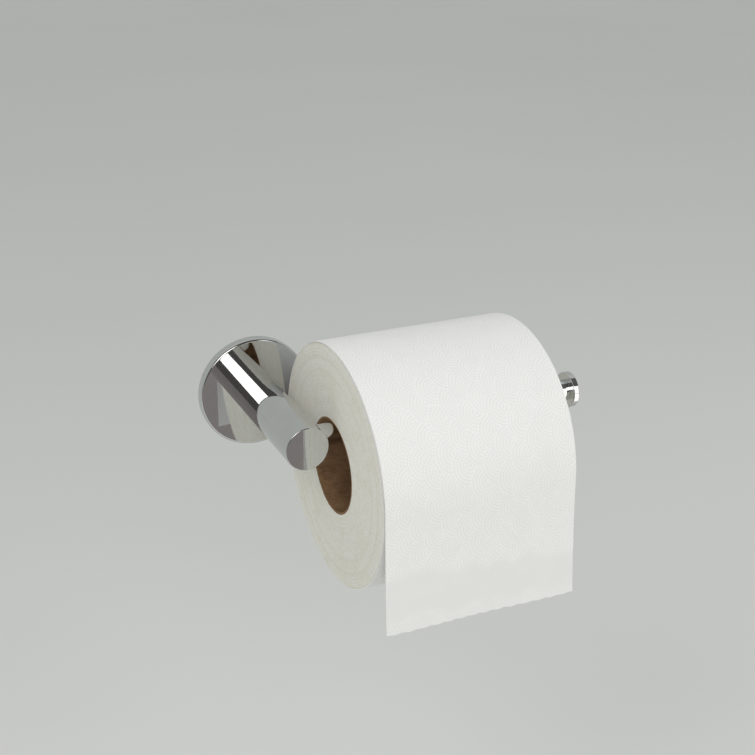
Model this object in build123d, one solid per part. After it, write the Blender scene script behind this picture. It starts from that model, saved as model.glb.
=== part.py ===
from build123d import *
import os
from math import sqrt

# Wall-mounted toilet paper holder: a round rose and a post standing out from the wall, with a
# bar that reaches sideways from the post and ends in a disc-shaped knob. A paper roll hangs on
# the bar by the inside of its cardboard core, and its free end hangs down at the front.
#
# Frame: origin at the centre of the wall bracket's back face, on the wall. +Y goes into the
# wall, +X runs along the bar from the post to the knob, and +Z is up. Millimetres.

# ---- Rose: the round cover that lies on the wall ----
rose_diameter = 55.0
rose_depth = 5.0
rose_face_wall = 1.4
rose_rim_wall = 3.0
rose_edge_radius = 1.2

# ---- Wall bracket: the disc inside the rose that the wall screws hold ----
bracket_rim_gap = 0.25
bracket_face_gap = 0.4
bracket_hole_diameter = 4.5
bracket_hole_spacing = 32.0
bracket_countersink_diameter = 8.4
bracket_centre_hole_diameter = 18.0
bracket_groove_depth = 1.0
bracket_back_land = 1.1

# ---- Grub screw: under the rose, its cone point in the bracket's groove ----
grub_diameter = 3.0
grub_recess = 0.4
grub_tip_diameter = 0.6
grub_tip_lift = 0.4
grub_socket_flats = 1.5
grub_socket_depth = 1.4

# ---- Rose screw, lock washer and locating pin: they join the rose to the post ----
rose_screw_diameter = 6.0
rose_screw_head_diameter = 11.0
rose_screw_head_gap = 0.6
rose_screw_engagement = 9.0
rose_screw_socket_flats = 4.0
rose_screw_socket_depth = 1.5
washer_thickness = 0.8
washer_diameter = 11.2
washer_teeth = 8
washer_notch_width = 1.0
pin_diameter = 2.0
pin_edge_distance = 0.6
pin_engagement = 6.0

# ---- Post: a tube with a closed front end ----
post_diameter = 20.6
post_wall = 1.5
post_end_wall = 2.0
post_end_edge = 0.5
base_plug_length = 12.0

# ---- Bar and its fastening in the post ----
bar_diameter = 10.5
bar_wall = 1.2
bar_to_post_end = 11.4
bar_socket_depth = 3.8
anchor_margin = 3.6
bar_plug_length = 12.0
stud_diameter = 5.0
stud_depth = 10.0
stud_end_gap = 0.5

# ---- Knob at the bar's free end ----
knob_diameter = 17.6
knob_thickness = 3.0
knob_edge = 0.4
knob_stud_diameter = 5.0
knob_stud_length = 9.0
knob_hole_depth = 2.0

# ---- Paper roll, and the room that the holder leaves around a full one ----
roll_diameter = 115.0
roll_width = 94.0
roll_rose_gap = 1.1
roll_post_gap = 5.8
roll_knob_gap = 30.0
core_diameter = 46.0
core_wall = 1.0
core_hang_gap = 0.3

# ---- Free end of the paper ----
paper_thickness = 0.4
paper_lift = 0.3
paper_slack = 1.0
tail_drop = 55.5
tail_swing = 2.6

# ---- Clearances ----
bond_gap = 0.02
thread_gap = 0.05
fit_gap = 0.05

# ---- Sizes that follow from the ones above ----
rose_radius = rose_diameter / 2
post_radius = post_diameter / 2
bar_radius = bar_diameter / 2
knob_radius = knob_diameter / 2
roll_radius = roll_diameter / 2
core_radius = core_diameter / 2
core_bore_radius = core_radius - core_wall

cavity_radius = rose_radius - rose_rim_wall
cavity_depth = rose_depth - rose_face_wall
bracket_radius = cavity_radius - bracket_rim_gap
bracket_thickness = cavity_depth - bracket_face_gap
grub_height = bracket_back_land + bracket_groove_depth

bar_setback = roll_radius + roll_rose_gap + rose_depth
post_length = bar_setback + bar_to_post_end
post_bore_radius = post_radius - post_wall
post_bore_end = post_length - post_end_wall
pin_offset = post_bore_radius - pin_diameter / 2 - pin_edge_distance

bar_seat = post_bore_radius - bar_socket_depth
bar_bore_radius = bar_radius - bar_wall
plug_radius = bar_bore_radius - bond_gap

roll_left = post_radius + roll_post_gap
roll_right = roll_left + roll_width
bar_reach = roll_right + roll_knob_gap
roll_axis_y = -bar_setback
roll_axis_z = bar_radius + core_hang_gap - core_bore_radius
lead_radius = roll_radius + paper_lift
lead_axis_y = roll_axis_y - paper_slack

# Extra length that a cutting tool runs past the face it cuts
cut_through = 1.0


def rod_x(radius, x_start, x_end, y=0.0, z=0.0):
    """A cylinder along X."""
    place = Pos((x_start + x_end) / 2, y, z) * Rot(0, 90, 0)
    return place * Cylinder(radius, abs(x_end - x_start))


def rod_y(radius, y_start, y_end, x=0.0, z=0.0):
    """A cylinder along Y."""
    place = Pos(x, (y_start + y_end) / 2, z) * Rot(90, 0, 0)
    return place * Cylinder(radius, abs(y_end - y_start))


def rod_z(radius, z_start, z_end, x=0.0, y=0.0):
    """A cylinder along Z."""
    return Pos(x, y, (z_start + z_end) / 2) * Cylinder(radius, abs(z_end - z_start))


def hexagon(flats):
    """A hexagon with this distance across its flats."""
    return RegularPolygon(flats / sqrt(3), 6)


def end_circle(solid, axis, index):
    """The circular edge that lies furthest along an axis (index -1) or least far (index 0)."""
    return solid.edges().filter_by(GeomType.CIRCLE).sort_by(axis)[index]


def make_wall_bracket():
    """Disc with two countersunk screw holes, a clearance hole for the rose screw, and a V groove."""
    disc = rod_y(bracket_radius, 0, -bracket_thickness)
    disc -= rod_y(bracket_centre_hole_diameter / 2, cut_through, -bracket_thickness - cut_through)
    sink_radius = bracket_countersink_diameter / 2
    hole_radius = bracket_hole_diameter / 2
    sink_depth = sink_radius - hole_radius
    for side in (-1, 1):
        z = side * bracket_hole_spacing / 2
        disc -= rod_y(hole_radius, cut_through, -bracket_thickness - cut_through, z=z)
        sink = Rot(90, 0, 0) * Cone(hole_radius, sink_radius, sink_depth)
        disc -= Pos(0, -bracket_thickness + sink_depth / 2, z) * sink
    groove = Polygon(
        (bracket_radius - bracket_groove_depth, -grub_height),
        (bracket_radius + cut_through, -grub_height + bracket_groove_depth + cut_through),
        (bracket_radius + cut_through, -grub_height - bracket_groove_depth - cut_through),
        align=None,
    )
    return disc - revolve(groove, Axis.Y)


def make_rose():
    """Shallow round cup, open to the wall, with a rounded front edge."""
    cup = rod_y(rose_radius, 0, -rose_depth)
    cup = fillet(end_circle(cup, Axis.Y, 0), rose_edge_radius)
    cup -= rod_y(cavity_radius, cut_through, -cavity_depth)
    cup -= rod_y(rose_screw_diameter / 2 + fit_gap, 0, -rose_depth - cut_through)
    cup -= rod_y(pin_diameter / 2 + bond_gap, 0, -rose_depth - cut_through, z=-pin_offset)
    grub_hole = rod_z(
        grub_diameter / 2 + thread_gap,
        -rose_radius - cut_through,
        -cavity_radius + cut_through,
        y=-grub_height,
    )
    return cup - grub_hole


def make_grub_screw():
    """Headless screw with a hexagon socket and a 45 degree cone point."""
    outer_z = -(rose_radius - grub_recess)
    tip_z = -(bracket_radius - bracket_groove_depth + grub_tip_lift)
    grub_radius = grub_diameter / 2
    tip_radius = grub_tip_diameter / 2
    cone_length = grub_radius - tip_radius
    body = rod_z(grub_radius, outer_z, tip_z - cone_length, y=-grub_height)
    cone = Cone(grub_radius, tip_radius, cone_length)
    body += Pos(0, -grub_height, tip_z - cone_length / 2) * cone
    socket = extrude(hexagon(grub_socket_flats), grub_socket_depth)
    return body - Pos(0, -grub_height, outer_z) * socket


def make_rose_screw():
    """Low-head socket screw that goes through the rose into the post's base plug."""
    under_head = -cavity_depth + washer_thickness
    head = rod_y(rose_screw_head_diameter / 2, -rose_screw_head_gap, under_head)
    shank_end = -rose_depth - rose_screw_engagement
    screw = head + rod_y(rose_screw_diameter / 2, under_head, shank_end)
    face = Plane.XZ.offset(rose_screw_head_gap)
    return screw - extrude(face * hexagon(rose_screw_socket_flats), rose_screw_socket_depth)


def make_lock_washer():
    """Toothed washer under the rose screw's head."""
    front = -cavity_depth
    back = front + washer_thickness
    ring = rod_y(washer_diameter / 2, back, front)
    ring -= rod_y(rose_screw_diameter / 2 + fit_gap, back + cut_through, front - cut_through)
    notch_depth = (washer_diameter - rose_screw_diameter) / 4
    notch = Box(washer_notch_width, washer_thickness + cut_through, 2 * notch_depth)
    for tooth in range(washer_teeth):
        turn = Rot(0, 360 * tooth / washer_teeth, 0)
        ring -= turn * Pos(0, (front + back) / 2, washer_diameter / 2) * notch
    return ring


def make_locating_pin():
    """Pin that stops the post from turning on the rose."""
    return rod_y(pin_diameter / 2, -cavity_depth, -rose_depth - pin_engagement, z=-pin_offset)


def make_post_tube():
    """Tube with a flat closed front end, and a hole in its side for the bar."""
    tube = rod_y(post_radius, -rose_depth, -post_length)
    tube = chamfer(end_circle(tube, Axis.Y, 0), post_end_edge)
    tube -= rod_y(post_bore_radius, 0, -post_bore_end)
    bar_hole = rod_x(bar_radius + fit_gap, 0, post_radius + cut_through, y=-bar_setback)
    return tube - bar_hole


def make_post_base_plug():
    """Threaded plug in the post's wall end."""
    back, front = -rose_depth, -rose_depth - base_plug_length
    plug = rod_y(post_bore_radius - bond_gap, back, front)
    plug -= rod_y(rose_screw_diameter / 2 + thread_gap, back + cut_through, front - cut_through)
    pin_end = back - pin_engagement - fit_gap
    return plug - rod_y(pin_diameter / 2 + bond_gap, back + cut_through, pin_end, z=-pin_offset)


def make_bar_anchor():
    """Block in the post's front end, with a socket and a threaded hole for the bar."""
    back = -bar_setback + bar_radius + anchor_margin
    block = rod_y(post_bore_radius - bond_gap, back, -post_bore_end)
    socket = rod_x(bar_radius + fit_gap, bar_seat, post_radius + cut_through, y=-bar_setback)
    thread = rod_x(stud_diameter / 2 + thread_gap, bar_seat - stud_depth, bar_seat, y=-bar_setback)
    return block - socket - thread


def make_bar_stud():
    """Threaded stud that joins the bar's inner plug to the anchor."""
    inner = bar_seat - stud_depth + stud_end_gap
    outer = bar_seat + bar_plug_length - stud_end_gap
    return rod_x(stud_diameter / 2, inner, outer, y=-bar_setback)


def make_bar_tube():
    """The bar, from its seat in the post to the knob."""
    tube = rod_x(bar_radius, bar_seat, bar_reach, y=-bar_setback)
    bore = rod_x(bar_bore_radius, bar_seat - cut_through, bar_reach + cut_through, y=-bar_setback)
    return tube - bore


def make_bar_plug(x_start, x_end, hole_diameter):
    """Threaded plug in one end of the bar."""
    plug = rod_x(plug_radius, x_start, x_end, y=-bar_setback)
    hole_radius = hole_diameter / 2 + thread_gap
    return plug - rod_x(hole_radius, x_start - cut_through, x_end + cut_through, y=-bar_setback)


def make_end_knob():
    """Disc with softened edges and a blind threaded hole in the face that meets the bar."""
    knob = rod_x(knob_radius, bar_reach, bar_reach + knob_thickness, y=-bar_setback)
    rims = [end_circle(knob, Axis.X, 0), end_circle(knob, Axis.X, -1)]
    knob = fillet(rims, knob_edge)
    hole_radius = knob_stud_diameter / 2 + thread_gap
    return knob - rod_x(hole_radius, bar_reach, bar_reach + knob_hole_depth, y=-bar_setback)


def make_knob_stud():
    """Threaded stud that joins the knob to the bar's outer plug."""
    outer = bar_reach + knob_hole_depth - fit_gap
    return rod_x(knob_stud_diameter / 2, outer - knob_stud_length, outer, y=-bar_setback)


def make_roll_tube(outer_radius, inner_radius):
    """A tube as wide as the paper, on the roll's axis."""
    tube = rod_x(outer_radius, roll_left, roll_right, y=roll_axis_y, z=roll_axis_z)
    bore = rod_x(
        inner_radius, roll_left - cut_through, roll_right + cut_through, y=roll_axis_y, z=roll_axis_z
    )
    return tube - bore


def make_paper_lead():
    """The outermost quarter turn, from the roll's top to its front, lying loosely on the roll."""
    outer_radius = lead_radius + paper_thickness
    ring = Circle(outer_radius) - Circle(lead_radius)
    quarter = Rectangle(outer_radius, outer_radius, align=(Align.MAX, Align.MIN))
    profile = Plane.YZ.offset(roll_left) * Pos(lead_axis_y, roll_axis_z) * (ring & quarter)
    return extrude(profile, roll_width)


def make_paper_tail():
    """The hanging end, from the roll's front down, swinging a little away from the wall."""
    inner_y = lead_axis_y - lead_radius
    outer_y = inner_y - paper_thickness
    bottom_z = roll_axis_z - tail_drop
    outline = Polygon(
        (inner_y, roll_axis_z),
        (outer_y, roll_axis_z),
        (outer_y - tail_swing, bottom_z),
        (inner_y - tail_swing, bottom_z),
        align=None,
    )
    return extrude(Plane.YZ.offset(roll_left) * outline, roll_width)


pieces = {
    "wall_bracket": make_wall_bracket(),
    "rose": make_rose(),
    "grub_screw": make_grub_screw(),
    "rose_screw": make_rose_screw(),
    "lock_washer": make_lock_washer(),
    "locating_pin": make_locating_pin(),
    "post_tube": make_post_tube(),
    "post_base_plug": make_post_base_plug(),
    "bar_anchor": make_bar_anchor(),
    "bar_stud": make_bar_stud(),
    "bar_tube": make_bar_tube(),
    "bar_inner_plug": make_bar_plug(bar_seat, bar_seat + bar_plug_length, stud_diameter),
    "bar_outer_plug": make_bar_plug(bar_reach - bar_plug_length, bar_reach, knob_stud_diameter),
    "end_knob": make_end_knob(),
    "knob_stud": make_knob_stud(),
    "core_tube": make_roll_tube(core_radius, core_bore_radius),
    "wound_paper": make_roll_tube(roll_radius, core_radius + bond_gap),
    "paper_lead": make_paper_lead(),
    "paper_tail": make_paper_tail(),
}

os.makedirs("parts", exist_ok=True)
for name, solid in pieces.items():
    export_step(solid, f"parts/{name}.step")
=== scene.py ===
import math

import bmesh
import bpy
import numpy as np
from mathutils import Matrix, Vector


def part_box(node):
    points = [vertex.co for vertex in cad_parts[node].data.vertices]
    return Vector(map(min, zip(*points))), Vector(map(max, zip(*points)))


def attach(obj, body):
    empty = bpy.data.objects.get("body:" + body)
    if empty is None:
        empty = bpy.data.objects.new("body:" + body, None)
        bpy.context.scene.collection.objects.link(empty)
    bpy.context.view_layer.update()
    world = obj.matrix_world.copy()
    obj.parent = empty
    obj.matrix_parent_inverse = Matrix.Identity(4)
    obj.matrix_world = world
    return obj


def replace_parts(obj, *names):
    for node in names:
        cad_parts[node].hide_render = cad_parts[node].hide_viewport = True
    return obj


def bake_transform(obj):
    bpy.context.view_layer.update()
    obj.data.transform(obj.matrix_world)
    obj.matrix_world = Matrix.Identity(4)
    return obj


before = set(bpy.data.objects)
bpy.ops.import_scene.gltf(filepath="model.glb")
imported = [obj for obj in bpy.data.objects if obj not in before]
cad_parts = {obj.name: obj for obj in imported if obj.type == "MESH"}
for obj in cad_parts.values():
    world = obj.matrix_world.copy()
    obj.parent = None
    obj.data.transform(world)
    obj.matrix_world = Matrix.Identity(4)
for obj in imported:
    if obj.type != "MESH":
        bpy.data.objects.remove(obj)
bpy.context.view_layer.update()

MM = 0.001
TAU = 2 * math.pi

# ---- Sizes and places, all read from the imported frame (metres) ----
rose_low, rose_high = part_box("rose")
post_low, post_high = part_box("post_tube")
bar_low, bar_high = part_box("bar_tube")
knob_low, knob_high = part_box("end_knob")
core_low, core_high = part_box("core_tube")
roll_low, roll_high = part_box("wound_paper")
tail_low, tail_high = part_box("paper_tail")
pin_low, pin_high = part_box("locating_pin")
grub_low, grub_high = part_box("grub_screw")

rose_radius = (rose_high.x - rose_low.x) / 2
post_radius = (post_high.x - post_low.x) / 2
bar_radius = (bar_high.z - bar_low.z) / 2
bar_y = (bar_high.y + bar_low.y) / 2
knob_radius = (knob_high.z - knob_low.z) / 2
core_radius = (core_high.z - core_low.z) / 2
roll_radius = (roll_high.z - roll_low.z) / 2
roll_y = (roll_high.y + roll_low.y) / 2
roll_z = (roll_high.z + roll_low.z) / 2
roll_left, roll_right = roll_low.x, roll_high.x
roll_width = roll_right - roll_left
tail_top = tail_high.z
tail_drop = tail_top - tail_low.z

# Edges and hidden insides, the same as the CAD pieces have
ROSE_CAVITY_RADIUS = 24.5 * MM
ROSE_CAVITY_DEPTH = 3.6 * MM
ROSE_EDGE = 1.2 * MM
ROSE_SCREW_HOLE = 3.05 * MM
PIN_HOLE = 1.02 * MM
GRUB_HOLE = 1.55 * MM
POST_WALL = 1.5 * MM
POST_END_WALL = 2.0 * MM
POST_EDGE = 0.5 * MM
BAR_HOLE_GAP = 0.05 * MM
BAR_WALL = 1.2 * MM
BAR_EDGE = 0.15 * MM
KNOB_EDGE = 0.4 * MM
KNOB_HOLE = 2.55 * MM
KNOB_HOLE_DEPTH = 2.0 * MM
CORE_WALL = 1.0 * MM

# How far a tool that cuts a hole runs past the surfaces that it cuts
HOLE_OVERRUN = 1.0 * MM

# The outermost paper: how far it lies outside the roll's radius at the front, on top and behind,
# and the angles, from the front over the top, where its lift, the free end and the turn stop
SHEET_THICKNESS = 0.36 * MM
FRONT_LIFT = 1.6 * MM
TOP_LIFT = 0.7 * MM
BACK_LIFT = 0.29 * MM
LIFT_END = math.radians(140)
SHEET_END = math.radians(150)
WRAP_END = math.radians(452)

# Embossed fans of rings: their radius, their steps across and along the paper, how far a fan may
# stray from its place each way, how soft its rim is, the rings' pitch and height, the dots per ring
# pitch round a ring, and the share of the height that lies inside the sheet's own face
FAN_RADIUS = 9.0 * MM
FAN_STEP = 7.2 * MM
FAN_PITCH = 14.4 * MM
FAN_STRAY_ACROSS = 1.6 * MM
FAN_STRAY_ALONG = 2.2 * MM
FAN_RIM = 0.5 * MM
RING_PITCH = 1.5 * MM
RING_HEIGHT = 0.17 * MM
DOTS_PER_PITCH = 1.15
RING_SINK = 0.3

# The wound roll's cut sides
WOUND_RADIUS = roll_radius - 0.08 * MM
WOUND_CORE_GAP = 0.02 * MM
SIDE_INSET = 0.1 * MM
LAYER = 0.52 * MM
LAYER_RELIEF = 0.05 * MM

# The core's ends and seams
CORE_END_INSET = 0.12 * MM
CORE_SEAM_TURNS = 9.0
OUTER_SEAM = 0.05 * MM
INNER_SEAM = 0.12 * MM

WELD = 1e-7


# ---------------------------------------------------------------- mesh helpers
def new_object(name, verts, faces):
    """An object in the object's own frame from a list of vertices and a list of faces."""
    mesh = bpy.data.meshes.new(name)
    mesh.from_pydata([tuple(map(float, v)) for v in verts], [], faces)
    mesh.validate()
    mesh.update()
    obj = bpy.data.objects.new(name, mesh)
    bpy.context.scene.collection.objects.link(obj)
    return obj


def smooth(obj, sharp_deg=None):
    """Smooth shading on every face, with edges sharper than an angle kept sharp."""
    obj.data.polygons.foreach_set("use_smooth", [True] * len(obj.data.polygons))
    obj.data.update()
    if sharp_deg is not None:
        obj.data.set_sharp_from_angle(angle=math.radians(sharp_deg))


def recalculate(obj, weld=None):
    """Faces turned to point outwards, once vertices closer together than weld are joined."""
    bm = bmesh.new()
    bm.from_mesh(obj.data)
    if weld is not None:
        bmesh.ops.remove_doubles(bm, verts=bm.verts, dist=weld)
    bmesh.ops.recalc_face_normals(bm, faces=bm.faces)
    bm.to_mesh(obj.data)
    bm.free()
    obj.data.update()


def arc(centre, radius, start_deg, end_deg, steps):
    """Points on a circular arc in a profile plane."""
    angles = np.radians(np.linspace(start_deg, end_deg, steps + 1))
    return [(centre[0] + radius * math.cos(a), centre[1] + radius * math.sin(a)) for a in angles]


def lathe(name, profile, segments, place, closed=True):
    """A profile of (radius, height) points turned about an axis, where place(r, h, angle) gives a
    point. A profile that isn't closed has its two ends filled in with flat discs."""
    count = len(profile)
    verts, faces = [], []
    for i in range(segments):
        angle = TAU * i / segments
        verts += [place(r, h, angle) for r, h in profile]
    spans = count if closed else count - 1
    for i in range(segments):
        a, b = i * count, ((i + 1) % segments) * count
        for j in range(spans):
            k = (j + 1) % count
            faces.append((a + j, a + k, b + k, b + j))
    if not closed:
        faces.append([i * count for i in range(segments)])
        faces.append([(segments - 1 - i) * count + count - 1 for i in range(segments)])
    obj = new_object(name, verts, faces)
    recalculate(obj)
    return obj


def turned_about_y(z=0.0):
    """A function that gives points turned about an axis along Y at this height."""
    return lambda r, h, angle: (r * math.cos(angle), h, z + r * math.sin(angle))


def turned_about_x(y, z):
    """A function that gives points turned about an axis along X through (y, z)."""
    return lambda r, h, angle: (h, y + r * math.cos(angle), z + r * math.sin(angle))


def turned_about_z(y):
    """A function that gives points turned about an upright axis at this Y."""
    return lambda r, h, angle: (r * math.cos(angle), y + r * math.sin(angle), h)


def cut_hole(obj, radius, start, end, segments, place):
    """Cuts a round hole from start to end along the axis that place turns about."""
    tool = lathe("hole", [(radius, start), (radius, end)], segments, place, closed=False)
    modifier = obj.modifiers.new("cut", "BOOLEAN")
    modifier.operation = "DIFFERENCE"
    modifier.solver = "EXACT"
    modifier.object = tool
    depsgraph = bpy.context.evaluated_depsgraph_get()
    mesh = bpy.data.meshes.new_from_object(obj.evaluated_get(depsgraph), depsgraph=depsgraph)
    obj.modifiers.remove(modifier)
    old = obj.data
    obj.data = mesh
    bpy.data.meshes.remove(old)
    bpy.data.objects.remove(tool)


def unit(vectors):
    """Rows of vectors, each at length 1."""
    return vectors / np.maximum(np.linalg.norm(vectors, axis=1), 1e-9)[:, None]


def cylinder_normals(point, axis, sign=1):
    """Normals of a cylinder, outwards for sign 1 and inwards for -1."""
    point, axis = np.array(point), np.array(axis, float)

    def field(co):
        offset = co - point
        return sign * unit(offset - np.outer(offset @ axis, axis))

    return field


def torus_normals(point, axis, ring_radius):
    """Normals of a rounded edge whose circle of centres has this radius."""
    point, axis = np.array(point), np.array(axis, float)

    def field(co):
        offset = co - point
        flat = offset - np.outer(offset @ axis, axis)
        return unit(co - (point + ring_radius * unit(flat)))

    return field


def read_array(collection, name, width, kind=float):
    """One property of every item of a mesh collection, as rows."""
    values = np.zeros(len(collection) * width, kind)
    collection.foreach_get(name, values)
    return values.reshape(-1, width) if width > 1 else values


# How closely a face has to agree with a turned surface at its centre and at each corner
CENTRE_AGREES = 0.985
CORNER_AGREES = 0.9


def true_normals(obj, fields):
    """Gives each face the exact normals of the turned surface it lies on, so that a mirror finish
    shows no facets. A face that lies on none of them keeps its own flat normal."""
    mesh = obj.data
    smooth(obj)
    centres = read_array(mesh.polygons, "center", 3)
    normals = read_array(mesh.polygons, "normal", 3)
    corners = read_array(mesh.vertices, "co", 3)[read_array(mesh.loops, "vertex_index", 1, int)]
    count = len(mesh.polygons)
    corner_face = np.repeat(np.arange(count), read_array(mesh.polygons, "loop_total", 1, int))
    made = normals[corner_face].copy()
    best = np.full(count, CENTRE_AGREES)
    for field in fields:
        match = (field(centres) * normals).sum(1)
        # A flat face whose centre happens to agree still differs at its corners
        at_corners = field(corners)
        spread = np.ones(count)
        np.minimum.at(spread, corner_face, (at_corners * normals[corner_face]).sum(1))
        wins = (match > best) & (spread > CORNER_AGREES)
        best[wins] = match[wins]
        chosen = wins[corner_face]
        made[chosen] = at_corners[chosen]
    mesh.normals_split_custom_set(made.tolist())
    mesh.update()


def grid_faces(index):
    """Four-sided faces between neighbours in a grid of vertex numbers."""
    return np.stack([index[:-1, :-1], index[:-1, 1:], index[1:, 1:], index[1:, :-1]], -1).reshape(-1, 4)


def rings_object(name, points):
    """A welded surface from rows of points, where each row is a closed ring."""
    rows, columns = points.shape[:2]
    index = np.arange(rows * columns).reshape(rows, columns)
    index = np.concatenate([index, index[:, :1]], 1)
    obj = new_object(name, points.reshape(-1, 3), grid_faces(index).tolist())
    recalculate(obj, WELD)
    return obj


# ---------------------------------------------------------------- chrome pieces
ALONG_X, ALONG_Y, ALONG_Z = (1, 0, 0), (0, 1, 0), (0, 0, 1)


def make_rose():
    """The round cover on the wall: a shallow cup with a rounded front edge."""
    front, back = rose_low.y, rose_high.y
    profile = [(rose_radius, back)]
    profile += arc((rose_radius - ROSE_EDGE, front + ROSE_EDGE), ROSE_EDGE, 0, -90, 10)
    profile += [
        (ROSE_SCREW_HOLE, front),
        (ROSE_SCREW_HOLE, -ROSE_CAVITY_DEPTH),
        (ROSE_CAVITY_RADIUS, -ROSE_CAVITY_DEPTH),
        (ROSE_CAVITY_RADIUS, back),
    ]
    rose = lathe("rose_cover", profile, 256, turned_about_y())
    pin_z = (pin_low.z + pin_high.z) / 2
    cut_hole(rose, PIN_HOLE, front - HOLE_OVERRUN, -HOLE_OVERRUN, 32, turned_about_y(pin_z))
    grub_y = (grub_low.y + grub_high.y) / 2
    grub_start, grub_end = -rose_radius - HOLE_OVERRUN, -ROSE_CAVITY_RADIUS + HOLE_OVERRUN
    cut_hole(rose, GRUB_HOLE, grub_start, grub_end, 48, turned_about_z(grub_y))
    true_normals(rose, [
        cylinder_normals((0, 0, 0), ALONG_Y),
        cylinder_normals((0, 0, 0), ALONG_Y, -1),
        torus_normals((0, front + ROSE_EDGE, 0), ALONG_Y, rose_radius - ROSE_EDGE),
        cylinder_normals((0, grub_y, 0), ALONG_Z, -1),
        cylinder_normals((0, 0, pin_z), ALONG_Y, -1),
    ])
    return rose


def make_post():
    """The post: a tube with a closed front end and a hole in its side for the bar."""
    front, back = post_low.y, post_high.y
    bore = post_radius - POST_WALL
    profile = [(bore, front + POST_END_WALL), (bore, back), (post_radius, back)]
    profile += arc((post_radius - POST_EDGE, front + POST_EDGE), POST_EDGE, 0, -90, 6)
    post = lathe("post", profile, 192, turned_about_y(), closed=False)
    hole_end = post_radius + 2 * HOLE_OVERRUN
    cut_hole(post, bar_radius + BAR_HOLE_GAP, 0.0, hole_end, 128, turned_about_x(bar_y, 0.0))
    true_normals(post, [
        cylinder_normals((0, 0, 0), ALONG_Y),
        cylinder_normals((0, 0, 0), ALONG_Y, -1),
        torus_normals((0, front + POST_EDGE, 0), ALONG_Y, post_radius - POST_EDGE),
        cylinder_normals((0, bar_y, 0), ALONG_X, -1),
    ])
    return post


def make_bar():
    """The bar: a plain tube from its socket in the post to the knob."""
    left, right = bar_low.x, bar_high.x
    bore = bar_radius - BAR_WALL
    profile = [(bore, right), (bore, left), (bar_radius, left)]
    profile += arc((bar_radius - BAR_EDGE, right - BAR_EDGE), BAR_EDGE, 0, 90, 3)
    bar = lathe("bar", profile, 160, turned_about_x(bar_y, 0.0))
    true_normals(bar, [
        cylinder_normals((0, bar_y, 0), ALONG_X),
        cylinder_normals((0, bar_y, 0), ALONG_X, -1),
        torus_normals((right - BAR_EDGE, bar_y, 0), ALONG_X, bar_radius - BAR_EDGE),
    ])
    return bar


def make_knob():
    """The disc at the bar's end, with softened edges and a blind hole in its left face."""
    left, right = knob_low.x, knob_high.x
    ring = knob_radius - KNOB_EDGE
    profile = [(KNOB_HOLE, left + KNOB_HOLE_DEPTH), (KNOB_HOLE, left)]
    profile += arc((ring, left + KNOB_EDGE), KNOB_EDGE, -90, 0, 6)
    profile += arc((ring, right - KNOB_EDGE), KNOB_EDGE, 0, 90, 6)
    knob = lathe("knob", profile, 192, turned_about_x(bar_y, 0.0), closed=False)
    true_normals(knob, [
        cylinder_normals((0, bar_y, 0), ALONG_X),
        cylinder_normals((0, bar_y, 0), ALONG_X, -1),
        torus_normals((left + KNOB_EDGE, bar_y, 0), ALONG_X, ring),
        torus_normals((right - KNOB_EDGE, bar_y, 0), ALONG_X, ring),
    ])
    return knob


# ---------------------------------------------------------------- paper
def hashed(a, b, seed):
    """A repeatable pseudo-random value from 0 to 1 for each pair of whole numbers."""
    value = np.sin(a * 127.1 + b * 311.7 + seed * 74.7) * 43758.5453
    return value - np.floor(value)


def smoothstep(low, high, value):
    """0 at low, 1 at high, with a soft start and end."""
    t = np.clip((value - low) / (high - low), 0, 1)
    return t * t * (3 - 2 * t)


def fan(height, x, s, column, row, stagger):
    """One fan of dotted rings laid over the heights so far."""
    centre_x = column * FAN_STEP + (hashed(column, row, 1) - 0.5) * FAN_STRAY_ACROSS
    centre_s = row * FAN_PITCH + stagger + (hashed(column, row, 2) - 0.5) * FAN_STRAY_ALONG
    dx, ds = x - centre_x, s - centre_s
    distance = np.hypot(dx, ds)
    rings_out = distance / RING_PITCH + 0.6 * hashed(column, row, 3)
    dot_count = np.maximum(np.round(TAU * np.round(rings_out) * DOTS_PER_PITCH), 1)
    ring = 0.5 + 0.5 * np.cos(TAU * rings_out)
    dots = 0.55 + 0.45 * np.cos(np.arctan2(ds, dx) * dot_count + TAU * hashed(column, row, 4))
    strength = 0.72 + 0.28 * hashed(column, row, 5)
    inside = smoothstep(FAN_RADIUS, FAN_RADIUS - FAN_RIM, distance)
    return height * (1 - inside) + inside * ring * dots * strength


def embossing(x, s):
    """Height of the embossed pattern, as a share of the rings' height: overlapping fans, each laid
    over the one on its left. x runs across the paper and s along it."""
    height = np.zeros_like(x)
    nearest = np.floor(x / FAN_STEP)
    for ahead in (-1, 0, 1, 2):
        column = nearest + ahead
        stagger = np.mod(column, 2) * FAN_PITCH / 2
        row = np.round((s - stagger) / FAN_PITCH)
        for beside in (-1, 0, 1):
            height = fan(height, x, s, column, row + beside, stagger)
    return height


def emboss_strength(x, s):
    """The embossing fades out on a smooth band near the torn end, and comes back faintly there."""
    across = (x - roll_left) / roll_width
    band_top = (30 - 7 * across) * MM
    band_bottom = (10 - 3 * across) * MM
    ragged = s + 1.5 * MM * np.sin(x / (3.1 * MM) + 2 * np.sin(x / (11 * MM)))
    above = smoothstep(band_top - 5 * MM, band_top + 2 * MM, ragged)
    below = 0.5 * smoothstep(band_bottom, band_bottom - 5 * MM, ragged)
    return np.maximum(above, below)


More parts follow.
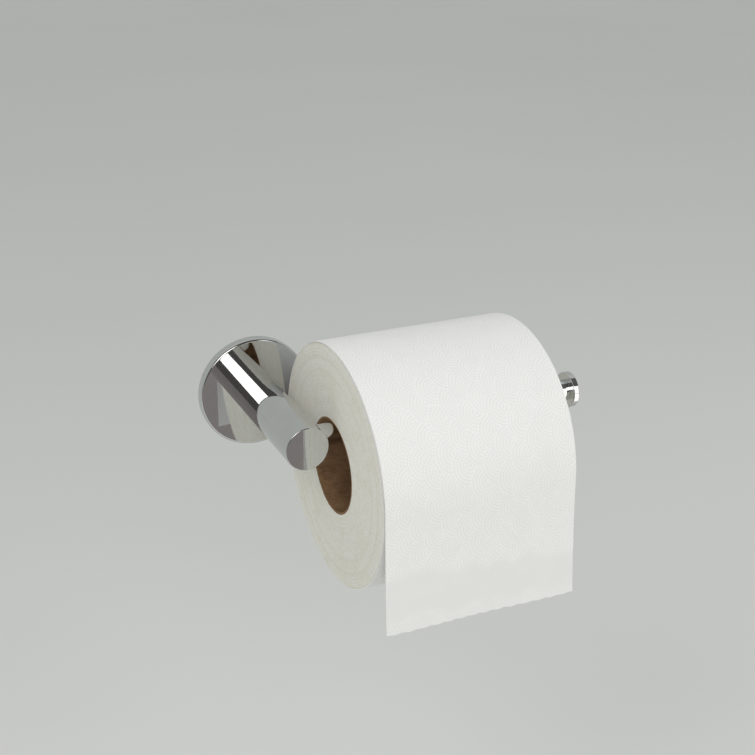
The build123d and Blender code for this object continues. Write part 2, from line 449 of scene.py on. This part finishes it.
def outer_lift(turn):
    """How far the outermost paper lies outside the roll's own radius, by the angle from the front."""
    quarter = math.pi / 2
    front = TOP_LIFT + (FRONT_LIFT - TOP_LIFT) * np.cos(np.minimum(turn, quarter))
    span = LIFT_END - quarter
    t = np.clip((turn - quarter) / span, 0, 1)
    slope = -(FRONT_LIFT - TOP_LIFT) * span
    back = (TOP_LIFT - BACK_LIFT) * (2 * t**3 - 3 * t**2 + 1) + slope * (t**3 - 2 * t**2 + t)
    return np.where(turn < quarter, front, BACK_LIFT + np.maximum(back, 0))


def paper_middle(x, s):
    """The middle of the outermost paper: s is 0 at the torn end, grows up the tail and then goes
    round the roll over its top."""
    turn = np.maximum(s - tail_drop, 0) / roll_radius
    radius = roll_radius + outer_lift(turn) - SHEET_THICKNESS / 2
    drop = np.maximum(tail_drop - s, 0)
    down = drop / tail_drop
    across = (x - roll_left) / roll_width
    curl = (1.7 + 1.7 * across) * MM * down**1.5
    wave = 0.35 * MM * down**2 * np.sin(TAU * (1.35 * across + 0.1))
    y = roll_y - radius * np.cos(turn) - curl - wave
    z = roll_z + radius * np.sin(turn) - drop * (1 - 0.0015 * down)
    return np.stack([x, y, z], -1)


def torn_edge(x):
    """How far the torn end stands out, along the paper: long and short waves, and fuzz."""
    waves = 0.22 * np.sin(TAU * x / (6.4 * MM) + 0.8 * np.sin(x / (9 * MM)))
    teeth = 0.09 * np.sin(TAU * x / (1.9 * MM) + 1.7 * np.sin(x / (4 * MM)))
    fuzz = 0.06 * np.sin(TAU * x / (0.83 * MM) + 2.1 * np.sin(x / (1.7 * MM)))
    return (waves + teeth + fuzz) * MM


def paper_surface(x, s):
    """Middle points and outward normals of the outermost paper."""
    step = 0.05 * MM
    along = paper_middle(x, s + step) - paper_middle(x, s - step)
    sideways = paper_middle(x + step, s) - paper_middle(x - step, s)
    normal = np.cross(sideways, along)
    return paper_middle(x, s), normal / np.linalg.norm(normal, axis=-1)[..., None]


def paper_grid(s_start, s_end, spacing):
    """Places across and along the paper, about this far apart."""
    across = int(round(roll_width / spacing))
    along = int(round((s_end - s_start) / spacing))
    return np.meshgrid(
        np.linspace(roll_left, roll_right, across + 1), np.linspace(s_start, s_end, along + 1)
    )


def zipper(fine, coarse):
    """Triangles between a fine and a coarse run of vertex numbers with the same ends."""
    faces, i, j = [], 0, 0
    n, m = len(fine) - 1, len(coarse) - 1
    while i < n or j < m:
        if j >= m or (i < n and (i + 1) * m <= (j + 1) * n):
            faces.append((fine[i], fine[i + 1], coarse[j]))
            i += 1
        else:
            faces.append((fine[i], coarse[j + 1], coarse[j]))
            j += 1
    return faces


def closed_sheet_faces(fine, coarse):
    """Faces of a closed sheet with a fine outer side and a coarse inner side."""
    faces = grid_faces(fine).tolist() + grid_faces(coarse)[:, ::-1].tolist()
    faces += [face[::-1] for face in zipper(fine[0], coarse[0])]
    faces += zipper(fine[-1], coarse[-1])
    faces += zipper(fine[:, 0], coarse[:, 0])
    faces += [face[::-1] for face in zipper(fine[:, -1], coarse[:, -1])]
    return faces


def paper_object(name, s_start, s_end, spacing, back_spacing):
    """A closed sheet of paper between two places along it: embossed outside, plain inside."""
    x, s = paper_grid(s_start, s_end, spacing)
    if s_start <= 0:
        s = s - torn_edge(x) * smoothstep(12 * MM, 0, s)
    middle, normal = paper_surface(x, s)
    raised = embossing(x, s) * emboss_strength(x, s)
    relief = (raised - RING_SINK) * RING_HEIGHT
    outer = middle + normal * (SHEET_THICKNESS / 2 + relief)[..., None]
    back_x, back_s = paper_grid(s_start, s_end, back_spacing)
    middle, normal = paper_surface(back_x, back_s)
    inner = middle - normal * SHEET_THICKNESS / 2
    fine = np.arange(x.size).reshape(x.shape)
    coarse = x.size + np.arange(back_x.size).reshape(back_x.shape)
    verts = np.concatenate([outer.reshape(-1, 3), inner.reshape(-1, 3)])
    obj = new_object(name, verts, closed_sheet_faces(fine, coarse))
    height = np.zeros(len(verts), np.float32)
    height[: x.size] = raised.ravel()
    obj.data.attributes.new("raised", "FLOAT", "POINT").data.foreach_set("value", height)
    recalculate(obj)
    smooth(obj, sharp_deg=50)
    return obj


def make_sheet():
    """The free end: from behind the roll's top, over the front and down to the torn edge."""
    return paper_object("paper_sheet", 0.0, tail_drop + SHEET_END * roll_radius, 0.375 * MM, 1.5 * MM)


def make_wrap():
    """The rest of the outermost turn, round the back and the bottom to under the free end."""
    start = tail_drop + SHEET_END * roll_radius
    end = tail_drop + WRAP_END * roll_radius
    return paper_object("outer_turn", start, end, 0.48 * MM, 3.0 * MM)


def layer_height(radius, angle, seed):
    """How far each wound layer's cut edge stands out of the roll's side."""
    turns = radius / LAYER + angle / TAU
    layer = np.floor(turns)
    own = hashed(layer, 0, seed) - 0.5
    drift = 0.5 * np.sin(angle * 2 + TAU * hashed(layer, 1, seed))
    broken = 0.35 * np.sin(angle * 9 + TAU * hashed(layer, 2, seed))
    broken = broken * np.sin(angle * 4 + TAU * hashed(layer, 3, seed))
    groove = -0.8 * smoothstep(0.3, 0.5, np.abs(turns - layer - 0.5))
    band = 1.2 * np.sin(radius / (2.7 * MM) + seed) * np.sin(radius / (4.9 * MM) + 2 * seed)
    return LAYER_RELIEF * (own + drift * own + broken + groove + band)


def make_wound_paper():
    """The wound roll: a thick tube with the cut edges of its layers on both sides."""
    inner = core_radius + WOUND_CORE_GAP
    angular, radial, across = 216, 176, 15
    radii = np.linspace(inner, WOUND_RADIUS, radial + 1)
    angles = np.linspace(0, TAU, angular, endpoint=False)
    r, a = np.meshgrid(radii, angles, indexing="ij")
    plain_rims = smoothstep(inner, inner + 1.2 * MM, r) * smoothstep(WOUND_RADIUS, WOUND_RADIUS - 0.5 * MM, r)
    out_of_round = 1 + 0.0006 * np.sin(2 * a + 1) * smoothstep(inner, inner + 8 * MM, r)
    y = roll_y + r * out_of_round * np.cos(a)
    z = roll_z + r * out_of_round * np.sin(a)
    left = np.stack([roll_left + SIDE_INSET - layer_height(r, a, 3) * plain_rims, y, z], -1)
    right = np.stack([roll_right - SIDE_INSET + layer_height(r, a, 8) * plain_rims, y, z], -1)
    shares = np.linspace(0, 1, across + 2)[1:-1, None, None]
    outside = left[-1] * (1 - shares) + right[-1] * shares
    bore = right[0] * (1 - shares) + left[0] * shares
    obj = rings_object("wound_roll", np.concatenate([left, outside, right[::-1], bore, left[:1]]))
    smooth(obj, sharp_deg=50)
    return obj


def core_seam(x, angle, depth):
    """The low step where the core's spiral windings meet."""
    phase = np.mod(angle / TAU + x * CORE_SEAM_TURNS, 1.0)
    step = smoothstep(0.0, 0.012, phase) * smoothstep(1.0, 0.55, phase)
    return depth * (step - 0.5)


def make_core():
    """The cardboard core: a spirally wound tube with a low seam step and slightly rough ends."""
    angles = np.linspace(0, TAU, 192, endpoint=False)
    rough = 0.4 * np.sin(7 * angles + 1) + 0.3 * np.sin(19 * angles) + 0.3 * np.sin(43 * angles)
    inset = CORE_END_INSET * (1 + rough)
    left, right = core_low.x + inset, core_high.x - inset

    def ring(x, radius):
        return np.stack([x, roll_y + radius * np.cos(angles), roll_z + radius * np.sin(angles)], -1)

    shares = np.linspace(0, 1, 121)
    rings = []
    for share in shares:
        x = left * (1 - share) + right * share
        rings.append(ring(x, core_radius - 0.03 * MM + core_seam(x, angles, OUTER_SEAM)))
    for share in shares[::-1]:
        x = left * (1 - share) + right * share
        inner = core_radius - CORE_WALL + 0.05 * MM
        rings.append(ring(x, inner - core_seam(x, angles + 2.0, INNER_SEAM)))
    obj = rings_object("core", np.stack(rings + rings[:1]))
    smooth(obj, sharp_deg=35)
    return obj


# ---------------------------------------------------------------- materials
class Nodes:
    """A small wrapper for building one material's node tree."""

    def __init__(self, name):
        self.material = bpy.data.materials.new(name)
        self.material.use_nodes = True
        self.tree = self.material.node_tree
        self.tree.nodes.clear()
        self.output = self.tree.nodes.new("ShaderNodeOutputMaterial")
        self.shader = self.tree.nodes.new("ShaderNodeBsdfPrincipled")
        self.link(self.shader.outputs["BSDF"], self.output.inputs["Surface"])
        self.coords = self.tree.nodes.new("ShaderNodeTexCoord").outputs["Object"]

    def link(self, source, target):
        self.tree.links.new(source, target)

    def set(self, **values):
        """Constant values on the shader's own sockets."""
        for name, value in values.items():
            self.shader.inputs[name.replace("_", " ")].default_value = value

    def surface(self, colour=None, roughness=None, normal=None):
        """Links what varies over the surface to the shader."""
        for source, name in ((colour, "Base Color"), (roughness, "Roughness"), (normal, "Normal")):
            if source is not None:
                self.link(source, self.shader.inputs[name])

    def noise(self, scale, detail, rough=0.5, vector=None, distortion=0.0):
        node = self.tree.nodes.new("ShaderNodeTexNoise")
        node.inputs["Scale"].default_value = scale
        node.inputs["Detail"].default_value = detail
        node.inputs["Roughness"].default_value = rough
        node.inputs["Distortion"].default_value = distortion
        self.link(vector or self.coords, node.inputs["Vector"])
        return node.outputs["Fac"]

    def stretched_noise(self, scale, detail, rough=0.5, rotation=(0, 0, 0)):
        """Noise with its own scale along each axis, for grain and hairlines."""
        node = self.tree.nodes.new("ShaderNodeMapping")
        node.inputs["Scale"].default_value = scale
        node.inputs["Rotation"].default_value = rotation
        self.link(self.coords, node.inputs["Vector"])
        return self.noise(1.0, detail, rough, node.outputs["Vector"])

    def line_noise(self, value, scale, detail, rough=0.5):
        """Noise that depends on one value only."""
        node = self.tree.nodes.new("ShaderNodeTexNoise")
        node.noise_dimensions = "1D"
        node.inputs["Scale"].default_value = scale
        node.inputs["Detail"].default_value = detail
        node.inputs["Roughness"].default_value = rough
        self.link(value, node.inputs["W"])
        return node.outputs["Fac"]

    def ramp(self, factor, *stops):
        """A colour for each value of the factor, from (place, colour) stops."""
        node = self.tree.nodes.new("ShaderNodeValToRGB")
        elements = node.color_ramp.elements
        while len(elements) < len(stops):
            elements.new(0.5)
        for element, (position, colour) in zip(elements, stops):
            element.position = position
            element.color = (*colour, 1.0)
        self.link(factor, node.inputs["Fac"])
        return node.outputs["Color"]

    def spread(self, factor, low, high, start=0.3, end=0.7):
        """A value that goes from low to high as the factor goes from start to end."""
        node = self.tree.nodes.new("ShaderNodeMapRange")
        for name, value in (("From Min", start), ("From Max", end), ("To Min", low), ("To Max", high)):
            node.inputs[name].default_value = value
        self.link(factor, node.inputs["Value"])
        return node.outputs["Result"]

    def math(self, operation, a, b=None):
        node = self.tree.nodes.new("ShaderNodeMath")
        node.operation = operation
        for socket, value in zip(node.inputs, (a, b)):
            if isinstance(value, (int, float)):
                socket.default_value = value
            elif value is not None:
                self.link(value, socket)
        return node.outputs["Value"]

    def mix(self, factor, a, colour):
        """The colour a, replaced by a fixed colour as the factor says."""
        node = self.tree.nodes.new("ShaderNodeMix")
        node.data_type = "RGBA"
        factor_socket, a_socket, b_socket = [s for s in node.inputs if s.enabled]
        self.link(factor, factor_socket)
        self.link(a, a_socket)
        b_socket.default_value = (*colour, 1.0)
        return [s for s in node.outputs if s.enabled][0]

    def attribute(self, name):
        """A value stored on the mesh's vertices."""
        node = self.tree.nodes.new("ShaderNodeAttribute")
        node.attribute_name = name
        return node.outputs["Fac"]

    def radius_from_axis(self, y, z):
        """Distance of the surface point from a line along X."""
        split = self.tree.nodes.new("ShaderNodeSeparateXYZ")
        self.link(self.coords, split.inputs["Vector"])
        dy = self.math("SUBTRACT", split.outputs["Y"], y)
        dz = self.math("SUBTRACT", split.outputs["Z"], z)
        squares = self.math("ADD", self.math("MULTIPLY", dy, dy), self.math("MULTIPLY", dz, dz))
        return self.math("SQRT", squares)

    def bump(self, height, strength, distance, under=None):
        node = self.tree.nodes.new("ShaderNodeBump")
        node.inputs["Strength"].default_value = strength
        node.inputs["Distance"].default_value = distance
        self.link(height, node.inputs["Height"])
        if under is not None:
            self.link(under, node.inputs["Normal"])
        return node.outputs["Normal"]


def chrome_material():
    """Polished chrome plate: a clear mirror with faint haze, hairlines and polishing waves."""
    n = Nodes("chrome_plate")
    n.set(Metallic=1.0, IOR=2.5)
    haze = n.noise(scale=70, detail=4, rough=0.6)
    fine = n.stretched_noise(scale=(140, 2200, 2200), detail=2, rotation=(0.5, 0.3, 0.2))
    smear = n.spread(haze, low=0.018, high=0.045)
    hairline = n.spread(fine, low=0.0, high=0.05, start=0.64, end=0.8)
    wave = n.bump(n.noise(scale=130, detail=1, rough=0.4), strength=0.12, distance=0.04 * MM)
    n.surface(
        colour=n.ramp(haze, (0.3, (0.655, 0.66, 0.66)), (0.7, (0.70, 0.705, 0.70))),
        roughness=n.math("ADD", smear, hairline),
        normal=n.bump(fine, strength=0.04, distance=0.01 * MM, under=wave),
    )
    return n.material


def zinc_material():
    """Zinc-plated steel sheet: grey with soft spangles and scuffs."""
    n = Nodes("zinc_plate")
    n.set(Metallic=1.0)
    spangle = n.noise(scale=320, detail=3, rough=0.7, distortion=1.5)
    scuff = n.stretched_noise(scale=(900, 300, 4000), detail=2, rotation=(0.2, 0.1, 0.6))
    n.surface(
        colour=n.ramp(spangle, (0.3, (0.50, 0.51, 0.50)), (0.7, (0.68, 0.69, 0.67))),
        roughness=n.spread(n.math("ADD", spangle, scuff), low=0.3, high=0.52, start=0.8, end=1.3),
        normal=n.bump(scuff, strength=0.15, distance=0.03 * MM),
    )
    return n.material


def turned_metal(name, grain_scale, mark_scale, dark, light, roughness):
    """A turned metal, mottled between two tones, with tool marks."""
    n = Nodes(name)
    n.set(Metallic=1.0)
    grain = n.noise(scale=grain_scale, detail=4, rough=0.6)
    marks = n.stretched_noise(scale=mark_scale, detail=2)
    n.surface(
        colour=n.ramp(grain, (0.3, dark), (0.7, light)),
        roughness=n.spread(marks, *roughness),
        normal=n.bump(marks, strength=0.2, distance=0.03 * MM),
    )
    return n.material


def steel_material():
    """Plain machined steel with turning marks."""
    dark, light = (0.42, 0.42, 0.43), (0.60, 0.60, 0.60)
    return turned_metal("machined_steel", 500, (900, 9000, 900), dark, light, roughness=(0.22, 0.42))


def brass_material():
    """Turned brass, slightly dulled."""
    dark, light = (0.62, 0.43, 0.19), (0.80, 0.60, 0.30)
    return turned_metal("turned_brass", 260, (9000, 900, 900), dark, light, roughness=(0.2, 0.4))


def cardboard_material():
    """Brown core board: mottled, with long fibres and dark and light flecks."""
    n = Nodes("core_board")
    n.set(Specular_IOR_Level=0.25)
    mottle = n.noise(scale=170, detail=5, rough=0.65, distortion=0.4)
    fibre = n.stretched_noise(scale=(420, 1500, 1500), detail=4, rough=0.6, rotation=(0.0, 0.0, 0.5))
    fleck = n.noise(scale=1700, detail=2)
    dark, brown, light = (0.17, 0.092, 0.045), (0.25, 0.142, 0.073), (0.34, 0.21, 0.115)
    colour = n.ramp(mottle, (0.25, dark), (0.55, brown), (0.8, light))
    colour = n.mix(n.spread(fibre, low=0.0, high=0.55, start=0.45, end=0.75), colour, (0.40, 0.26, 0.15))
    colour = n.mix(n.spread(fleck, low=0.0, high=0.7, start=0.68, end=0.76), colour, (0.09, 0.05, 0.028))
    coarse = n.bump(fibre, strength=0.35, distance=0.12 * MM)
    n.surface(
        colour=colour,
        roughness=n.spread(mottle, low=0.75, high=0.95),
        normal=n.bump(fleck, strength=0.3, distance=0.05 * MM, under=coarse),
    )
    return n.material


def sheet_material():
    """White tissue: matt and soft, a little uneven in tone, with painted shade that darkens it where it is
    pressed in.
    """
    n = Nodes("tissue_sheet")
    n.set(Specular_IOR_Level=0.12, Sheen_Weight=0.15, Sheen_Roughness=0.6)
    cloud = n.noise(scale=90, detail=5, rough=0.65)
    fibre = n.stretched_noise(scale=(700, 2400, 2400), detail=4, rough=0.6)
    # Painted shade: the colour darkens towards the embossing's pressed-in hollows, standing in for the shade
    # that falls there
    painted_hollow_shade = n.spread(n.attribute("raised"), low=0.5, high=0.0, start=0.0, end=0.45)
    colour = n.ramp(cloud, (0.3, (0.875, 0.869, 0.863)), (0.7, (0.905, 0.899, 0.894)))
    colour = n.mix(n.spread(fibre, low=0.0, high=0.25, start=0.45, end=0.8), colour, (0.83, 0.828, 0.82))
    # Mixes in the painted shade's darker tone where the paper is pressed in
    colour = n.mix(painted_hollow_shade, colour, (0.725, 0.718, 0.712))
    crepe = n.stretched_noise(scale=(900, 2600, 2600), detail=3, rough=0.6)
    coarse = n.bump(crepe, strength=0.35, distance=0.06 * MM)
    fluff = n.noise(scale=5200, detail=3, rough=0.6)
    n.surface(
        colour=colour,
        roughness=n.spread(fibre, low=0.86, high=0.98),
        normal=n.bump(fluff, strength=0.3, distance=0.02 * MM, under=coarse),
    )
    return n.material


def wound_material():
    """The roll's cut sides: cream, ringed by the edges of the layers, with faint beige patches."""
    n = Nodes("tissue_layers")
    n.set(Specular_IOR_Level=0.12, Sheen_Weight=0.1, Sheen_Roughness=0.6)
    wander = n.math("MULTIPLY", n.noise(scale=35, detail=2), 1.1 * MM)
    place = n.math("ADD", n.radius_from_axis(roll_y, roll_z), wander)
    rings = n.line_noise(place, scale=2400, detail=4, rough=0.7)
    bands = n.line_noise(place, scale=300, detail=2)
    patches = n.noise(scale=85, detail=4, rough=0.6)
    specks = n.noise(scale=700, detail=3, rough=0.6)
    dark, cream, light = (0.66, 0.645, 0.56), (0.80, 0.79, 0.73), (0.88, 0.872, 0.83)
    colour = n.ramp(rings, (0.3, dark), (0.5, cream), (0.68, light))
    colour = n.mix(n.spread(bands, low=0.0, high=0.5, start=0.5, end=0.75), colour, (0.73, 0.705, 0.61))
    colour = n.mix(n.spread(patches, low=0.0, high=0.5, start=0.48, end=0.70), colour, (0.74, 0.70, 0.58))
    colour = n.mix(n.spread(specks, low=0.0, high=0.5, start=0.5, end=0.72), colour, (0.62, 0.595, 0.50))
    layered = n.bump(rings, strength=0.55, distance=0.12 * MM)
    fluff = n.noise(scale=3800, detail=3, rough=0.6)
    n.surface(
        colour=colour,
        roughness=n.spread(patches, low=0.88, high=0.98),
        normal=n.bump(fluff, strength=0.35, distance=0.03 * MM, under=layered),
    )
    return n.material


def floor_material():
    """The studio's plain pale floor."""
    n = Nodes("studio_floor")
    n.set(Specular_IOR_Level=0.2, Roughness=0.85)
    cloud = n.noise(scale=1.2, detail=3)
    n.surface(colour=n.ramp(cloud, (0.3, (0.77, 0.77, 0.76)), (0.7, (0.79, 0.79, 0.78))))
    return n.material


def card_material(name, tone):
    """An even glow of one tone, for the cards that mirror finishes see."""
    n = Nodes(name)
    n.set(Base_Color=(0, 0, 0, 1), Roughness=1.0, Specular_IOR_Level=0.0)
    n.set(Emission_Color=(*tone, 1), Emission_Strength=1.0)
    return n.material


# ---------------------------------------------------------------- studio
CAMERA_PLACE = Vector((-0.1807, -0.5487, 0.2462))
CAMERA_AIM = Vector((0.0507, -0.0376, 0.01174))
CAMERA_ROLL = 0.003
CAMERA_LENS = 60.5
SENSOR_WIDTH = 36

FLOOR_HEIGHT = -0.32
FLOOR_HALF = 12.0
LIGHT_AIM = (0.06, -0.06, 0.0)
WARM = (1.0, 0.985, 0.965)
WHITE = (1.0, 1.0, 1.0)

# Tones of the surround and of the cards, where 1 is paper white
SURROUND = (0.46, 0.48, 0.462)
OVERHEAD = (0.62, 0.625, 0.615)
DARK_WALL = (0.10, 0.095, 0.092)
DARK_CEILING = (0.12, 0.118, 0.115)
DARK_FLOOR = (0.25, 0.232, 0.225)
BRIGHT = (1.5, 1.48, 1.45)

# The dark cards' room, and the gap between cards that lie on the floor
ROOM_HALF = 4.0
ROOM_FRONT = -2.1
ROOM_TOP = 3.0
CARD_GAP = 0.002


def make_camera():
    """The camera at the photograph's viewing angle."""
    data = bpy.data.cameras.new("camera")
    data.sensor_width = SENSOR_WIDTH
    data.lens = CAMERA_LENS
    data.clip_start = 0.01
    data.clip_end = 100
    camera = bpy.data.objects.new("camera", data)
    bpy.context.scene.collection.objects.link(camera)
    back = (CAMERA_PLACE - CAMERA_AIM).normalized()
    right = Vector((0, 0, 1)).cross(back).normalized()
    up = back.cross(right)
    turn = Matrix.Rotation(CAMERA_ROLL, 3, back)
    right, up = turn @ right, turn @ up
    camera.matrix_world = Matrix((
        (right.x, up.x, back.x, CAMERA_PLACE.x),
        (right.y, up.y, back.y, CAMERA_PLACE.y),
        (right.z, up.z, back.z, CAMERA_PLACE.z),
        (0, 0, 0, 1),
    ))
    bpy.context.scene.camera = camera


def area_light(name, place, width, height, power, colour=WARM, glossy=False):
    """A soft rectangular light aimed at the object. Only a glossy one shows in mirror finishes."""
    data = bpy.data.lights.new(name, "AREA")
    data.shape = "RECTANGLE"
    data.size, data.size_y = width, height
    data.energy = power
    data.color = colour
    light = bpy.data.objects.new(name, data)
    bpy.context.scene.collection.objects.link(light)
    light.location = place
    light.rotation_euler = (Vector(LIGHT_AIM) - Vector(place)).to_track_quat("-Z", "Y").to_euler()
    light.visible_camera = False
    light.visible_glossy = glossy


def reflection_card(name, corners, tone):
    """A card that only mirror finishes see: it gives chrome its bands of dark and bright."""
    card = new_object(name, corners, [(0, 1, 2, 3)])
    card.data.materials.append(card_material(name, tone))
    card.visible_camera = False
    card.visible_diffuse = False
    card.visible_transmission = False
    card.visible_volume_scatter = False
    card.visible_shadow = False


def level_card(name, across, deep, height, tone):
    """A level card between two X and two Y places."""
    (left, right), (front, back) = across, deep
    corners = [(left, front, height), (right, front, height), (right, back, height), (left, back, height)]
    reflection_card(name, corners, tone)


def upright_card(name, start, end, bottom, top, tone):
    """An upright card over a line on the floor."""
    reflection_card(name, [(*start, bottom), (*end, bottom), (*end, top), (*start, top)], tone)


def make_world():
    """A soft even surround, brighter overhead, shown with plain tones."""
    world = bpy.data.worlds.new("studio")
    world.use_nodes = True
    tree = world.node_tree
    split = tree.nodes.new("ShaderNodeSeparateXYZ")
    tree.links.new(tree.nodes.new("ShaderNodeTexCoord").outputs["Generated"], split.inputs["Vector"])
    ramp = tree.nodes.new("ShaderNodeValToRGB")
    ramp.color_ramp.interpolation = "EASE"
    for element, place, tone in zip(ramp.color_ramp.elements, (0.6, 0.97), (SURROUND, OVERHEAD)):
        element.position = place
        element.color = (*tone, 1)
    tree.links.new(split.outputs["Z"], ramp.inputs["Fac"])
    tree.links.new(ramp.outputs["Color"], tree.nodes["Background"].inputs["Color"])
    bpy.context.scene.world = world
    bpy.context.scene.view_settings.view_transform = "Standard"


def make_floor():
    """The plain pale floor."""
    near, far, level = -FLOOR_HALF, FLOOR_HALF, FLOOR_HEIGHT
    corners = [(near, near, level), (far, near, level), (far, far, level), (near, far, level)]
    floor = new_object("floor", corners, [(0, 1, 2, 3)])
    floor.data.materials.append(floor_material())


def make_lights():
    """Large soft lights: a window in front, and fills that mirror finishes don't see."""
    area_light("window", (-0.55, -1.7, 0.86), width=1.0, height=0.95, power=8.1, glossy=True)
    area_light("strip", (1.02, -1.6, 0.95), width=0.5, height=1.0, power=4.5)
    area_light("side_key", (2.0, -0.85, 0.85), width=0.5, height=0.5, power=4)
    area_light("left_fill", (-0.62, -0.42, 0.72), width=0.45, height=0.45, power=2.1, colour=WHITE)


def make_cards():
    """The room that chrome reflects: dark in front and above, with bright strips on its right."""
    level = FLOOR_HEIGHT
    room = (-ROOM_HALF, ROOM_HALF)
    upright_card("front_card", (room[0], ROOM_FRONT), (room[1], ROOM_FRONT), level, ROOM_TOP, DARK_WALL)
    level_card("ceiling_card", room, (ROOM_FRONT, 0.1), ROOM_TOP, DARK_CEILING)
    level_card("floor_card", room, (ROOM_FRONT, -0.42), level + CARD_GAP, DARK_FLOOR)
    upright_card("strip_card", (0.84, -1.7), (1.2, -1.49), level + 1.5 * CARD_GAP, 1.4, BRIGHT)
    level_card("pale_card", (0.34, 0.95), (-1.8, -0.2), level + 2 * CARD_GAP, BRIGHT)
    level_card("back_card", (-6, 6), (-0.1, 6), level + 2 * CARD_GAP, SURROUND)


# ---------------------------------------------------------------- assembly
def finish_piece(obj, material, body=None):
    """Gives a new piece its one material, and puts it on its body."""
    obj.data.materials.clear()
    obj.data.materials.append(material)
    if body:
        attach(obj, body)
    return obj


def add_chrome_pieces():
    """The four visible metal pieces, each in place of its CAD node."""
    chrome = chrome_material()
    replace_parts(finish_piece(make_rose(), chrome, "holder"), "rose")
    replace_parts(finish_piece(make_post(), chrome, "holder"), "post_tube")
    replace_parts(finish_piece(make_bar(), chrome, "holder"), "bar_tube")
    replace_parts(finish_piece(make_knob(), chrome, "holder"), "end_knob")


def finish_hidden_metal():
    """Metals for the CAD nodes inside the rose, post, bar and knob."""
    for material, names in (
        (zinc_material(), ["wall_bracket"]),
        (steel_material(), [
            "grub_screw", "rose_screw", "lock_washer", "locating_pin", "bar_stud", "knob_stud",
        ]),
        (brass_material(), ["post_base_plug", "bar_anchor", "bar_inner_plug", "bar_outer_plug"]),
    ):
        for name in names:
            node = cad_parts[name]
            node.data.materials.clear()
            node.data.materials.append(material)


def add_roll():
    """The core and the wound paper, which turn together."""
    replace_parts(finish_piece(make_core(), cardboard_material(), "roll"), "core_tube")
    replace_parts(finish_piece(make_wound_paper(), wound_material(), "roll"), "wound_paper")


def add_outer_paper():
    """The outermost turn, and the free end that leads from it down to the tail's torn edge."""
    tissue = sheet_material()
    wrap = finish_piece(make_wrap(), tissue, "free_end")
    sheet = finish_piece(make_sheet(), tissue)
    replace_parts(sheet, "paper_lead", "paper_tail")
    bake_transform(sheet)


add_chrome_pieces()
finish_hidden_metal()
add_roll()
add_outer_paper()
make_camera()
make_floor()
make_world()
make_lights()
make_cards()
